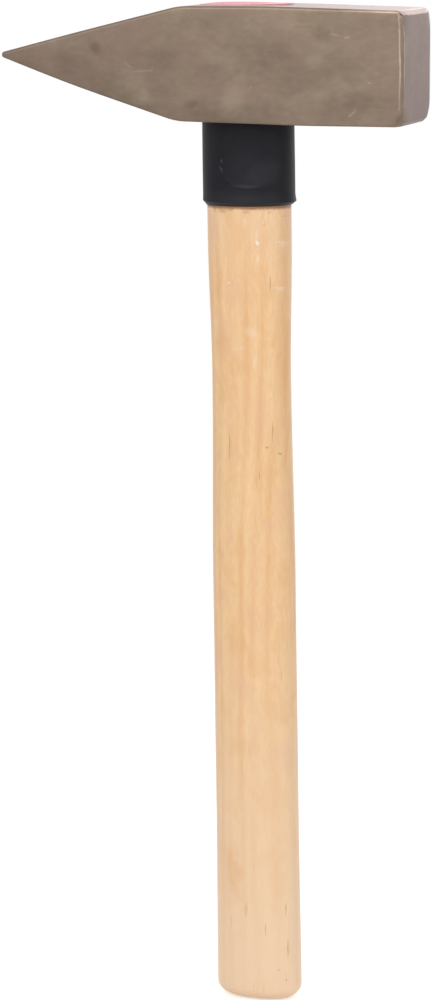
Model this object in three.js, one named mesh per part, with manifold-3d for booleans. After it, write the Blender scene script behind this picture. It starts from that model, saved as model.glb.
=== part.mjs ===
// Cross-peen machinist hammer with a non-sparking aluminium bronze head and an ash handle.
// Millimetres, +Z up. The head is on top, its striking face looks along +X and its peen along -X.
// Heights are given above the butt; at the end everything moves so that the grip is the origin.

import * as THREE from 'three';
import { mergeVertices } from 'three/addons/utils/BufferGeometryUtils.js';
import Module from 'manifold-3d';

const wasm = await Module();
wasm.setup();

// Clearances
const seatGap = 0.3; // between two pieces that touch on the real hammer
const cutMargin = 2; // how far a cutter runs past what it cuts

// Handle: heights are above the butt and drops are below the underside of the head.
// Half lengths lie along the head and half widths across it.
const handleReach = 338.5; // from the butt to the underside of the head
const gripHeight = 90; // middle of the hand grip
const handleCant = 0.62; // degrees that the handle leans, butt towards the striking face
const ovalPower = 2.2; // 2 is an ellipse, more is squarer
const buttOval = { halfLength: 16.5, halfWidth: 11.4 };
const lowerGripOval = { height: 80, halfLength: 16.05, halfWidth: 11.5 };
const upperGripOval = { height: 160, halfLength: 15.9, halfWidth: 11.4 };
const waistOval = { drop: 93.3, halfLength: 15, halfWidth: 10.9 };
const neckOval = { drop: 42.3, halfLength: 15.85, halfWidth: 11.9 };
const buttRoundRise = 5.1; // height of the rounding at the butt
const buttRoundInset = 6.6; // how far it draws the butt in
const shoulderDrop = 15.3; // from here up the neck narrows into the eye
const tenonRise = 0.3; // the end grain stands this far above the top of the head
const tenonChamfer = 1.1; // what its rim is drawn in, inside the lacquer
const handleRingStep = 9;

// Head
const headWidth = 42;
const headDepth = 42.9; // from the underside to the top, at the eye
const headLength = 156.8; // from the face to where the two flanks of the peen would meet
const faceX = 64.7;
const faceTopFall = 1.4; // the top falls this much from the eye to the face
const crestX = 14.4; // where the fall starts
const bottomLevelX = 26.4; // where the level part of the underside starts
const peenTipDrop = 18; // below the top
const peenTipRadius = 1.15;
const topFlankCrown = 0.2; // how far the flanks of the peen stand out from straight lines
const bottomFlankCrown = 0.85;
const flankCrownShare = 0.42; // where they stand out most, from the tip to the shoulder
const flankCrownRadius = 600;
const topShoulderX = -19.9;
const topShoulderRadius = 32;
const bottomShoulderX = -21.4;
const bottomShoulderRise = 1; // the underside is this much higher at the peen's root
const bottomShoulderRadius = 25;
const edgeBreak = 0.5; // broken edges along both cheeks
const faceChamfer = 1.5;
const faceTopCornerRadius = 2.6; // of the flat of the face
const faceBottomCornerRadius = 5.5;
const faceFlatRadius = 23.4; // outside this circle the corners of the face are dressed back
const cornerDressing = 0.15; // fall per millimetre of radius

// Eye, as half sizes
const eyeTop = { halfLength: 17.7, halfWidth: 12.6 };
const eyeWaist = { halfLength: 15.2, halfWidth: 10.8 };
const eyeBottom = { halfLength: 15.9, halfWidth: 11.7 };
const eyeWaistRise = 17.7; // above the underside

// Wedges
const kerfDepth = 33;
const wedgeTopThickness = 4.4;
const wedgeToeThickness = 1.6;
const wedgeDepth = 29;
const ringOuterRadius = 7.4;
const ringTopWall = 2;
const ringToeWall = 0.8;
const ringDepth = 11;

// Lacquer over the handle's end
const lacquerSkirt = 1.2; // how far it reaches down into the eye
const lacquerRim = 0.4; // height of its rim above the top of the head
const lacquerCrown = 1.3; // rise from the rim to the middle

// Rubber sleeve under the head
const sleeveWall = 1.2;
const sleeveTopWall = 1.4; // where the handle narrows into the eye
const sleeveToeWall = 0.3; // at the lower end, under the lip
const sleeveLength = 30.6;
const sleeveLipFlare = 0.4;
const sleeveLipHeight = 3;
const sleeveLipBevel = 1.3;
const dishRadius = 11.2;
const dishDepth = 0.3;
const dishDrop = 14.3; // centre of the dish below the underside of the head
const dishX = 4.8;

// Fineness of the skins
const ovalSides = 48;
const arcSegments = 10;
const crownSteps = 4;
const weldTolerance = 1e-5;

// Places that follow from these sizes
const headBottom = handleReach;
const headTop = headBottom + headDepth;
const eyeMiddleHeight = (headTop + headBottom) / 2;
const eyeWaistHeight = headBottom + eyeWaistRise;
const faceTopHeight = headTop - faceTopFall;
const tenonTopHeight = headTop + tenonRise;
const skirtHeight = headTop - lacquerSkirt;
const sleeveBottom = headBottom - sleeveLength;
const peenTipX = faceX - headLength;

// Solids and meshes

function toSolid(geometry) {
  const bare = geometry.clone();
  bare.deleteAttribute('normal');
  bare.deleteAttribute('uv');
  const merged = mergeVertices(bare, weldTolerance);
  return new wasm.Manifold(new wasm.Mesh({
    numProp: 3,
    vertProperties: new Float32Array(merged.attributes.position.array),
    triVerts: new Uint32Array(merged.index.array),
  }));
}

function toGeometry(solid) {
  const mesh = solid.getMesh();
  const geometry = new THREE.BufferGeometry();
  geometry.setAttribute('position', new THREE.BufferAttribute(new Float32Array(mesh.vertProperties), 3));
  geometry.setIndex(new THREE.BufferAttribute(new Uint32Array(mesh.triVerts), 1));
  geometry.computeVertexNormals();
  return geometry;
}

// A closed skin over a stack of rings of equal count, each running anticlockwise seen from above
function loft(rings) {
  const count = rings[0].length;
  const positions = rings.flat().flatMap((point) => [point.x, point.y, point.z]);
  const indices = [];
  for (let ring = 0; ring < rings.length - 1; ring += 1) {
    for (let side = 0; side < count; side += 1) {
      const a = ring * count + side;
      const b = ring * count + (side + 1) % count;
      indices.push(a, b, b + count);
      indices.push(a, b + count, a + count);
    }
  }
  const last = (rings.length - 1) * count;
  for (let side = 1; side < count - 1; side += 1) {
    indices.push(0, side + 1, side);
    indices.push(last, last + side, last + side + 1);
  }
  const geometry = new THREE.BufferGeometry();
  geometry.setAttribute('position', new THREE.BufferAttribute(new Float32Array(positions), 3));
  geometry.setIndex(indices);
  return geometry;
}

function ovalRing({ halfLength, halfWidth }, height, grow = 0) {
  const ring = [];
  for (let side = 0; side < ovalSides; side += 1) {
    const angle = (2 * Math.PI * side) / ovalSides;
    const cos = Math.cos(angle);
    const sin = Math.sin(angle);
    const x = (halfLength + grow) * Math.sign(cos) * Math.abs(cos) ** (2 / ovalPower);
    const y = (halfWidth + grow) * Math.sign(sin) * Math.abs(sin) ** (2 / ovalPower);
    ring.push(new THREE.Vector3(x, y, height));
  }
  return ring;
}

function mixOval(a, b, share) {
  return {
    halfLength: THREE.MathUtils.lerp(a.halfLength, b.halfLength, share),
    halfWidth: THREE.MathUtils.lerp(a.halfWidth, b.halfWidth, share),
  };
}

// Everything on the handle's axis leans about the middle of the eye
const cantMatrix = new THREE.Matrix4()
  .makeTranslation(0, 0, eyeMiddleHeight)
  .multiply(new THREE.Matrix4().makeRotationY(THREE.MathUtils.degToRad(-handleCant)))
  .multiply(new THREE.Matrix4().makeTranslation(0, 0, -eyeMiddleHeight));

function canted(geometry) {
  return toSolid(geometry.clone().applyMatrix4(cantMatrix));
}

// Eye: widest at the top, narrowest a little below the middle

function eyeOval(height) {
  if (height < eyeWaistHeight) {
    const share = (eyeWaistHeight - height) / (eyeWaistHeight - headBottom);
    return mixOval(eyeWaist, eyeBottom, share);
  }
  const share = (height - eyeWaistHeight) / (headTop - eyeWaistHeight);
  return mixOval(eyeWaist, eyeTop, share);
}

const eyeCutter = canted(loft([headBottom - cutMargin, eyeWaistHeight, headTop + cutMargin]
  .map((height) => ovalRing(eyeOval(height), height))));

// Head: a side outline with rounded corners, extruded over the width, with the face dressed at its end

function roundedOutline(corners) {
  const shape = new THREE.Shape();
  corners.forEach((corner, index) => {
    const point = new THREE.Vector2(corner.x, corner.y);
    if (!corner.radius) {
      if (index === 0) shape.moveTo(point.x, point.y);
      else shape.lineTo(point.x, point.y);
      return;
    }
    const before = corners[(index + corners.length - 1) % corners.length];
    const after = corners[(index + 1) % corners.length];
    const toBefore = new THREE.Vector2(before.x, before.y).sub(point).normalize();
    const toAfter = new THREE.Vector2(after.x, after.y).sub(point).normalize();
    const halfAngle = Math.acos(toBefore.dot(toAfter)) / 2;
    const start = point.clone().addScaledVector(toBefore, corner.radius / Math.tan(halfAngle));
    const bisector = toBefore.clone().add(toAfter).normalize();
    const centre = point.clone().addScaledVector(bisector, corner.radius / Math.sin(halfAngle));
    const end = point.clone().addScaledVector(toAfter, corner.radius / Math.tan(halfAngle));
    if (index === 0) shape.moveTo(start.x, start.y);
    else shape.lineTo(start.x, start.y);
    const startAngle = Math.atan2(start.y - centre.y, start.x - centre.x);
    const endAngle = Math.atan2(end.y - centre.y, end.x - centre.x);
    const clockwise = toBefore.cross(toAfter) > 0;
    shape.absarc(centre.x, centre.y, corner.radius, startAngle, endAngle, clockwise);
  });
  shape.closePath();
  return shape;
}

// A flank of the peen bends once, where it stands out from the line between its two ends
function flankBend(tip, shoulder, crown) {
  const x = THREE.MathUtils.lerp(tip.x, shoulder.x, flankCrownShare);
  const y = THREE.MathUtils.lerp(tip.y, shoulder.y, flankCrownShare) + crown;
  return { x, y, radius: flankCrownRadius };
}

const peenTip = { x: peenTipX, y: headTop - peenTipDrop, radius: peenTipRadius };
const topShoulder = { x: topShoulderX, y: headTop, radius: topShoulderRadius };
const bottomShoulder = {
  x: bottomShoulderX,
  y: headBottom + bottomShoulderRise,
  radius: bottomShoulderRadius,
};

const sideOutline = roundedOutline([
  { x: faceX, y: headBottom },
  { x: faceX, y: faceTopHeight },
  { x: crestX, y: headTop },
  topShoulder,
  flankBend(peenTip, topShoulder, topFlankCrown),
  peenTip,
  flankBend(peenTip, bottomShoulder, -bottomFlankCrown),
  bottomShoulder,
  { x: bottomLevelX, y: headBottom },
]);

function headBlank() {
  const blank = new THREE.ExtrudeGeometry(sideOutline, {
    depth: headWidth - 2 * edgeBreak,
    bevelThickness: edgeBreak,
    bevelSize: edgeBreak,
    bevelOffset: -edgeBreak,
    bevelSegments: 1,
    curveSegments: arcSegments,
  });
  blank.translate(0, 0, edgeBreak - headWidth / 2);
  blank.rotateX(Math.PI / 2);
  return toSolid(blank);
}

// A square rod along the head whose chamfered end is the rim of the striking face
function faceChamferRod() {
  const halfWidth = headWidth / 2;
  const halfHeight = (faceTopHeight - headBottom) / 2;
  const rimReach = halfWidth / 2;
  const flatWidth = halfWidth - faceChamfer;
  const flatHeight = halfHeight - faceChamfer;
  const outline = roundedOutline([
    { x: flatWidth, y: -flatHeight, radius: faceBottomCornerRadius },
    { x: flatWidth, y: flatHeight, radius: faceTopCornerRadius },
    { x: -flatWidth, y: flatHeight, radius: faceTopCornerRadius },
    { x: -flatWidth, y: -flatHeight, radius: faceBottomCornerRadius },
  ]);
  const rod = new THREE.ExtrudeGeometry(outline, {
    depth: faceX - peenTipX,
    bevelThickness: rimReach,
    bevelSize: rimReach,
    bevelSegments: 1,
    curveSegments: arcSegments,
  });
  rod.translate(0, 0, -(faceX - peenTipX) - rimReach);
  rod.rotateY(Math.PI / 2);
  rod.rotateX(Math.PI / 2);
  rod.translate(faceX, 0, headBottom + halfHeight);
  return toSolid(rod);
}

// A turned rod with a flat end that falls away outside a circle, so it only dresses the corners
function cornerDressingRod() {
  const reach = headWidth;
  const profile = [
    new THREE.Vector2(0, peenTipX - cutMargin),
    new THREE.Vector2(reach, peenTipX - cutMargin),
    new THREE.Vector2(reach, faceX - cornerDressing * (reach - faceFlatRadius)),
    new THREE.Vector2(faceFlatRadius, faceX),
    new THREE.Vector2(0, faceX),
  ];
  const rod = new THREE.LatheGeometry(profile, ovalSides);
  rod.rotateZ(-Math.PI / 2);
  rod.translate(0, 0, (faceTopHeight + headBottom) / 2);
  return toSolid(rod);
}

const uncutHead = headBlank();
const head = uncutHead
  .intersect(faceChamferRod())
  .intersect(cornerDressingRod())
  .subtract(eyeCutter);

// Handle: ovals eased from station to station, a rounded butt and a tenon that fills the eye

const handleStations = [
  { ...buttOval, height: 0 },
  lowerGripOval,
  upperGripOval,
  { ...waistOval, height: headBottom - waistOval.drop },
  { ...neckOval, height: headBottom - neckOval.drop },
];

function handleOval(height) {
  const above = handleStations.findIndex((station) => station.height > height);
  if (above < 0) return handleStations[handleStations.length - 1];
  const lower = handleStations[above - 1];
  const upper = handleStations[above];
  const share = (height - lower.height) / (upper.height - lower.height);
  const eased = (1 - Math.cos(Math.PI * share)) / 2;
  return mixOval(lower, upper, eased);
}

function handleRings() {
  const rings = [];
  for (let step = 0; step <= arcSegments; step += 1) {
    const angle = (Math.PI / 2) * (step / arcSegments);
    const height = buttRoundRise * (1 - Math.cos(angle));
    rings.push(ovalRing(handleOval(height), height, buttRoundInset * (Math.sin(angle) - 1)));
  }
  const straight = headBottom - shoulderDrop - buttRoundRise;
  const steps = Math.round(straight / handleRingStep);
  for (let step = 1; step <= steps; step += 1) {
    const height = buttRoundRise + (straight * step) / steps;
    rings.push(ovalRing(handleOval(height), height));
  }
  for (const height of [headBottom - seatGap, eyeWaistHeight, skirtHeight - seatGap]) {
    rings.push(ovalRing(eyeOval(height), height, -seatGap));
  }
  rings.push(ovalRing(eyeTop, tenonTopHeight, -seatGap - tenonChamfer));
  return rings;
}

// Wooden wedge: seen along the head it is a thin tapered blade
function wedgeBlade(grow, depth, halfLength, top) {
  const blade = new THREE.Shape();
  blade.moveTo(-wedgeTopThickness / 2 - grow, top);
  blade.lineTo(-wedgeToeThickness / 2 - grow, tenonTopHeight - depth);
  blade.lineTo(wedgeToeThickness / 2 + grow, tenonTopHeight - depth);
  blade.lineTo(wedgeTopThickness / 2 + grow, top);
  blade.closePath();
  const geometry = new THREE.ExtrudeGeometry(blade, { depth: 2 * halfLength, bevelEnabled: false });
  geometry.translate(0, 0, -halfLength);
  geometry.rotateX(Math.PI / 2);
  geometry.rotateZ(Math.PI / 2);
  return canted(geometry);
}

// Ring wedge: a tube sharpened from the inside towards its lower end
function ringTube(grow, top) {
  const profile = [
    new THREE.Vector2(ringOuterRadius - ringToeWall - grow, tenonTopHeight - ringDepth - grow),
    new THREE.Vector2(ringOuterRadius + grow, tenonTopHeight - ringDepth - grow),
    new THREE.Vector2(ringOuterRadius + grow, top),
    new THREE.Vector2(ringOuterRadius - ringTopWall - grow, top),
  ];
  profile.push(profile[0].clone());
  const tube = new THREE.LatheGeometry(profile, ovalSides);
  tube.rotateX(Math.PI / 2);
  return canted(tube);
}

const wedgeHalfLength = eyeWaist.halfLength - 2 * seatGap;
const kerf = wedgeBlade(seatGap, kerfDepth, eyeTop.halfLength + cutMargin, tenonTopHeight + cutMargin);
const ringGroove = ringTube(seatGap, tenonTopHeight + cutMargin);
const handle = canted(loft(handleRings())).subtract(kerf).subtract(ringGroove);
const woodenWedge = wedgeBlade(0, wedgeDepth, wedgeHalfLength, tenonTopHeight).subtract(ringGroove);
const ringWedge = ringTube(0, tenonTopHeight);

// Red lacquer: a thin crowned cap over the end grain, whose skirt fills the mouth of the eye
function lacquerCap() {
  const rimHeight = headTop + lacquerRim;
  const rings = [ovalRing(eyeTop, skirtHeight, -seatGap), ovalRing(eyeTop, rimHeight, -seatGap)];
  for (let step = 1; step <= crownSteps; step += 1) {
    const share = step / (crownSteps + 1);
    const height = rimHeight + lacquerCrown * Math.sin((Math.PI / 2) * share);
    const inset = eyeTop.halfWidth * (1 - Math.cos((Math.PI / 2) * share));
    rings.push(ovalRing(eyeTop, height, -seatGap - inset));
  }
  const inside = [
    ovalRing(eyeTop, skirtHeight - seatGap),
    ovalRing(eyeTop, tenonTopHeight + seatGap, -tenonChamfer),
  ];
  return canted(loft(rings)).subtract(canted(loft(inside)));
}

// Sleeve: a thin oval tube that follows the handle, with a flared lower lip and a shallow dish in front

const sleeveGrow = seatGap + sleeveWall;
const shoulderHeight = headBottom - shoulderDrop;
const lipHeight = sleeveBottom + sleeveLipBevel;

// The outside above the lip, moved out or in by grow
function sleeveSkin(bottom, grow) {
  return [
    ovalRing(neckOval, bottom, sleeveGrow + grow),
    ovalRing(neckOval, shoulderHeight, sleeveGrow + grow),
    ovalRing(eyeBottom, headBottom, sleeveTopWall + grow),
    ovalRing(eyeBottom, eyeMiddleHeight, sleeveTopWall + grow),
  ];
}

function sleeve() {
  const lip = [
    ovalRing(neckOval, sleeveBottom, seatGap + sleeveToeWall),
    ovalRing(neckOval, lipHeight, sleeveGrow + sleeveLipFlare),
  ];
  const body = canted(loft([...lip, ...sleeveSkin(lipHeight + sleeveLipHeight, 0)]));
  const bore = canted(loft([
    ovalRing(neckOval, sleeveBottom - cutMargin, seatGap),
    ovalRing(neckOval, shoulderHeight, seatGap),
    ovalRing(eyeBottom, headBottom),
    ovalRing(eyeBottom, headTop + cutMargin),
  ]));
  const underside = uncutHead.translate([0, 0, -seatGap]);
  return body.subtract(dish()).subtract(bore).subtract(underside);
}

// What is cut from the front of the sleeve: a round post in front of a slightly smaller skin
function dish() {
  const reach = neckOval.halfLength + sleeveGrow + cutMargin;
  const post = new THREE.CylinderGeometry(dishRadius, dishRadius, reach, ovalSides);
  post.translate(dishX, -reach / 2, headBottom - dishDrop);
  const floor = loft(sleeveSkin(sleeveBottom - cutMargin, -dishDepth));
  return canted(post).subtract(canted(floor));
}

// The finished hammer

const bronze = new THREE.MeshStandardMaterial({ color: 0x8b796b, roughness: 0.5, metalness: 1 });
const ash = new THREE.MeshStandardMaterial({ color: 0xeec495, roughness: 0.45, metalness: 0 });
const beech = new THREE.MeshStandardMaterial({ color: 0xc99b6b, roughness: 0.7, metalness: 0 });
const brass = new THREE.MeshStandardMaterial({ color: 0xb5935a, roughness: 0.35, metalness: 1 });
const rubber = new THREE.MeshStandardMaterial({ color: 0x2d2d32, roughness: 0.6, metalness: 0 });
const redLacquer = new THREE.MeshStandardMaterial({ color: 0xc8102e, roughness: 0.25, metalness: 0 });

const hammer = new THREE.Group();

function addPiece(name, solid, material) {
  const mesh = new THREE.Mesh(toGeometry(solid), material);
  mesh.name = name;
  hammer.add(mesh);
}

addPiece('head', head, bronze);
addPiece('handle', handle, ash);
addPiece('handle_sleeve', sleeve(), rubber);
addPiece('wooden_wedge', woodenWedge, beech);
addPiece('ring_wedge', ringWedge, brass);
addPiece('eye_lacquer', lacquerCap(), redLacquer);

// The grip is the origin: the handle's axis there, after its lean
const gripPoint = new THREE.Vector3(0, 0, gripHeight).applyMatrix4(cantMatrix);
hammer.position.copy(gripPoint).negate();

export default hammer;
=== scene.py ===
# Cross-peen machinist hammer: aluminium bronze head, ash handle, rubber sleeve and red dipped eye.
# Pieces are drawn in millimetres in the frame's own axes and turned to metres when they are made.
import math
import bmesh
import bpy
from mathutils import Matrix, Vector, noise


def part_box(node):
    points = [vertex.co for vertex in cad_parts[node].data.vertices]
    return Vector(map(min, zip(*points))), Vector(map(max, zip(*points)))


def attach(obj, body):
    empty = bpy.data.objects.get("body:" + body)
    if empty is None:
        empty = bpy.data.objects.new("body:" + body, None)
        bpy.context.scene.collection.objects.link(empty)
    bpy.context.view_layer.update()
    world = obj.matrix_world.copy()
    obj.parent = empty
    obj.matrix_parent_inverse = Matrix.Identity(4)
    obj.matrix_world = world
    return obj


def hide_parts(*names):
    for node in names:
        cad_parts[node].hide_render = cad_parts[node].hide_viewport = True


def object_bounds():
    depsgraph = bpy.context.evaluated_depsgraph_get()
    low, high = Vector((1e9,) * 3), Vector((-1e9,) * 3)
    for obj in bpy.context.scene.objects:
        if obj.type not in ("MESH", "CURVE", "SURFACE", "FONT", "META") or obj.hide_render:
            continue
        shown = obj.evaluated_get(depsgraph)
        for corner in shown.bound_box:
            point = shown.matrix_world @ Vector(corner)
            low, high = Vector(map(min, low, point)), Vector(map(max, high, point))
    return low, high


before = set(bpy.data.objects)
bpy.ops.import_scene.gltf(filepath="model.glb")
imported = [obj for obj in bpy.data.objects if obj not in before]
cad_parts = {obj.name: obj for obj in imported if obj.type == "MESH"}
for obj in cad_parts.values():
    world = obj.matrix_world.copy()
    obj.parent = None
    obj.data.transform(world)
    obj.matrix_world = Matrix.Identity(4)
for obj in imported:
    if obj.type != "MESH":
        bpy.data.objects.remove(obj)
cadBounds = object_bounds()
scene = bpy.context.scene

# Camera, placed where the photograph was taken from

cameraSetup = {
    "target": (-0.0162, 0.0, 0.1048),  # the middle of the picture, metres
    "distance": 1.2203,
    "azimuth": 17.6,  # degrees round towards the striking face
    "elevation": 10.45,
    "roll": -0.3,
    "lens": 115.4,  # millimetres on a 36 mm sensor
}


def linkObject(name, data):
    made = bpy.data.objects.new(name, data)
    scene.collection.objects.link(made)
    return made


def placeCamera(setup):
    camera = linkObject("studioCamera", bpy.data.cameras.new("studioCamera"))
    camera.data.lens = setup["lens"]
    camera.data.clip_end = 60
    turn = Matrix.Rotation(math.radians(setup["azimuth"]), 4, "Z")
    tilt = Matrix.Rotation(math.radians(90 - setup["elevation"]), 4, "X")
    roll = Matrix.Rotation(math.radians(setup["roll"]), 4, "Z")
    back = Matrix.Translation((0, 0, setup["distance"]))
    camera.matrix_world = Matrix.Translation(setup["target"]) @ turn @ tilt @ back @ roll
    scene.camera = camera


placeCamera(cameraSetup)
scene.view_settings.view_transform = "Standard"
print("camera placed")

# Places that the frame gives, in millimetres


def boxInMm(node):
    low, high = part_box(node)
    return low * 1000, high * 1000


headLow, headHigh = boxInMm("head")
ringLow, ringHigh = boxInMm("ring_wedge")
axisPoint = (ringLow + ringHigh) / 2
leanAngle = math.atan2(axisPoint.x, axisPoint.z)  # the origin lies on the handle's axis too
lean = Matrix.Rotation(leanAngle, 4, "Y")

# Shared shape tools


def ovalRing(oval, height, grow=0.0, sides=128, power=2.2):
    ring = []
    for side in range(sides):
        angle = 2 * math.pi * side / sides
        along, across = math.cos(angle), math.sin(angle)
        x = (oval[0] + grow) * math.copysign(abs(along) ** (2 / power), along)
        y = (oval[1] + grow) * math.copysign(abs(across) ** (2 / power), across)
        ring.append(Vector((x, y, height)))
    return ring


def mixOval(first, second, share):
    return tuple(a + (b - a) * share for a, b in zip(first, second))


def easeStep(share):
    share = max(0.0, min(1.0, share))
    return share * share * (3 - 2 * share)


def skinRings(bm, rings, closeEnds=True, closeLoop=False):
    made = [[bm.verts.new(point) for point in ring] for ring in rings]
    pairs = list(zip(made, made[1:]))
    if closeLoop:
        pairs.append((made[-1], made[0]))
    count = len(rings[0])
    for lower, upper in pairs:
        for side in range(count):
            after = (side + 1) % count
            bm.faces.new((lower[side], lower[after], upper[after], upper[side]))
    if closeEnds:
        bm.faces.new(reversed(made[0]))
        bm.faces.new(made[-1])


def fillet(before, corner, after, radius):
    toBefore = (before - corner).normalized()
    toAfter = (after - corner).normalized()
    halfAngle = toBefore.angle(toAfter) / 2
    centre = corner + (toBefore + toAfter).normalized() * radius / math.sin(halfAngle)
    reach = radius / math.tan(halfAngle)
    start = corner + toBefore * reach - centre
    end = corner + toAfter * reach - centre
    return centre, math.atan2(start.y, start.x), math.atan2(end.y, end.x)


def arcPoints(centre, radius, start, end, steps):
    sweep = (end - start + math.pi) % (2 * math.pi) - math.pi
    angles = [start + sweep * step / steps for step in range(steps + 1)]
    return [centre + Vector((math.cos(angle), math.sin(angle))) * radius for angle in angles]


def meshObject(name, bm):
    mesh = bpy.data.meshes.new(name)
    bm.to_mesh(mesh)
    bm.free()
    return linkObject(name, mesh)


def pieceInMm(name, bm):
    bmesh.ops.recalc_face_normals(bm, faces=bm.faces)
    bmesh.ops.scale(bm, vec=(0.001, 0.001, 0.001), verts=bm.verts)
    return meshObject(name, bm)


def leaningPiece(name, rings, **ends):
    bm = bmesh.new()
    skinRings(bm, [[lean @ point for point in ring] for ring in rings], **ends)
    return pieceInMm(name, bm)


def cutAway(piece, cutter):
    cut = piece.modifiers.new("cut", "BOOLEAN")
    cut.operation = "DIFFERENCE"
    cut.solver = "EXACT"
    cut.object = cutter
    graph = bpy.context.evaluated_depsgraph_get()
    baked = bpy.data.meshes.new_from_object(piece.evaluated_get(graph))
    piece.modifiers.clear()
    piece.data = baked
    bpy.data.objects.remove(cutter)


def smoothSurface(piece, sharpAngle=50):
    piece.data.shade_smooth()
    piece.data.set_sharp_from_angle(angle=math.radians(sharpAngle))
    weighted = piece.modifiers.new("weighted normals", "WEIGHTED_NORMAL")
    weighted.keep_sharp = True


def dress(piece, material, slotName, *nodes):
    piece.data.materials.clear()
    piece.data.materials.append(material)
    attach(piece, "root")
    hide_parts(*nodes)


# Shared material tools


def linearColour(code):
    channels = [int(code[place:place + 2], 16) / 255 for place in (1, 3, 5)]
    linear = [c / 12.92 if c <= 0.04045 else ((c + 0.055) / 1.055) ** 2.4 for c in channels]
    return (*linear, 1.0)


def addNode(tree, kind, inputs=None, stops=(), **settings):
    node = tree.nodes.new(kind)
    for name, value in settings.items():
        setattr(node, name, value)
    for name, value in (inputs or {}).items():
        if isinstance(value, bpy.types.Node):  # stands for its first output that is in use
            value = next(output for output in value.outputs if output.enabled)
        if isinstance(value, bpy.types.NodeSocket):
            tree.links.new(value, node.inputs[name])
        else:
            node.inputs[name].default_value = value
    for index, (place, code) in enumerate(stops):
        ramp = node.color_ramp.elements
        element = ramp[index] if index < 2 else ramp.new(place)
        element.position = place
        element.color = linearColour(code)
    return node


def newMaterial(name):
    material = bpy.data.materials.new(name)
    material.use_nodes = True
    tree = material.node_tree
    tree.nodes.clear()
    place = addNode(tree, "ShaderNodeTexCoord").outputs["Object"]
    return material, tree, place


def finishSurface(tree, relief, bump, sockets):
    strength, height = bump  # height in mm
    bumped = addNode(tree, "ShaderNodeBump", {
        "Height": relief, "Strength": strength, "Distance": height / 1000,
    })
    surface = addNode(tree, "ShaderNodeBsdfPrincipled", {"Normal": bumped, **sockets})
    addNode(tree, "ShaderNodeOutputMaterial", {"Surface": surface})


def perMetre(sizeInMm):
    return 1000 / sizeInMm  # pattern scale, because object coordinates are metres


def raggedPlace(tree, place, fray):
    lumpSize, reach = fray  # how large the wobbles are and how far they go, mm
    lumps = addNode(tree, "ShaderNodeTexNoise", {
        "Vector": place, "Scale": perMetre(lumpSize), "Detail": 2.0,
    })
    centred = addNode(tree, "ShaderNodeVectorMath", {
        0: lumps.outputs["Color"], 1: (0.5, 0.5, 0.5),
    }, operation="SUBTRACT")
    return addNode(tree, "ShaderNodeVectorMath", {
        0: centred, 1: (2 * reach / 1000,) * 3, 2: place,
    }, operation="MULTIPLY_ADD")


def strandNoise(tree, place, size, texture, tilt=0):
    stretched = addNode(tree, "ShaderNodeMapping", {
        "Vector": place, "Rotation": (0, math.radians(tilt), 0), "Scale": [1 / length for length in size],
    })
    return addNode(tree, "ShaderNodeTexNoise", {"Vector": stretched, "Scale": perMetre(1), **texture})


def paintWhere(tree, colour, value, cover, code):
    start, full, most = cover  # values where the paint starts and where it reaches its largest share
    share = addNode(tree, "ShaderNodeMapRange", {
        "Value": value, "From Min": start, "From Max": full, "To Max": most,
    })
    return addNode(tree, "ShaderNodeMix", {0: share, 6: colour, 7: linearColour(code)}, data_type="RGBA")


def shadeWhere(tree, colour, value, levels):
    start, full, low, high = levels  # values between which the brightness goes from low to high
    level = addNode(tree, "ShaderNodeMapRange", {
        "Value": value, "From Min": start, "From Max": full, "To Min": low, "To Max": high,
    })
    return addNode(tree, "ShaderNodeMix", {
        0: 1.0, 6: colour, 7: level,
    }, data_type="RGBA", blend_type="MULTIPLY")


def paintMarks(tree, colour, place, look, marks, tone):
    depth, depthReach = look["markedSide"]  # mm, so that only one side of the piece is marked
    shown = None
    for x, z, halfWidth, halfHeight, tilt, strength in look[marks]:
        local = addNode(tree, "ShaderNodeMapping", {
            "Vector": place,
            "Location": (x / 1000, depth / 1000, z / 1000),
            "Rotation": (0, math.radians(tilt), 0),
            "Scale": (halfWidth / 1000, depthReach / 1000, halfHeight / 1000),
        }, vector_type="TEXTURE")
        away = addNode(tree, "ShaderNodeVectorMath", {0: local}, operation="LENGTH")
        mask = addNode(tree, "ShaderNodeMapRange", {
            "Value": away, "From Min": 1.0, "From Max": 0.35, "To Max": strength,
        })
        if shown:
            mask = addNode(tree, "ShaderNodeMath", {0: shown, 1: mask}, operation="MAXIMUM")
        shown = mask
    return addNode(tree, "ShaderNodeMix", {
        0: shown, 6: colour, 7: linearColour(look[tone]),
    }, data_type="RGBA")


# Aluminium bronze: cast, ground all over and left to dull.
# To the eye: matte beige-brown, cloudy, with fine scratches and paler metal where edges are knocked.

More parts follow.
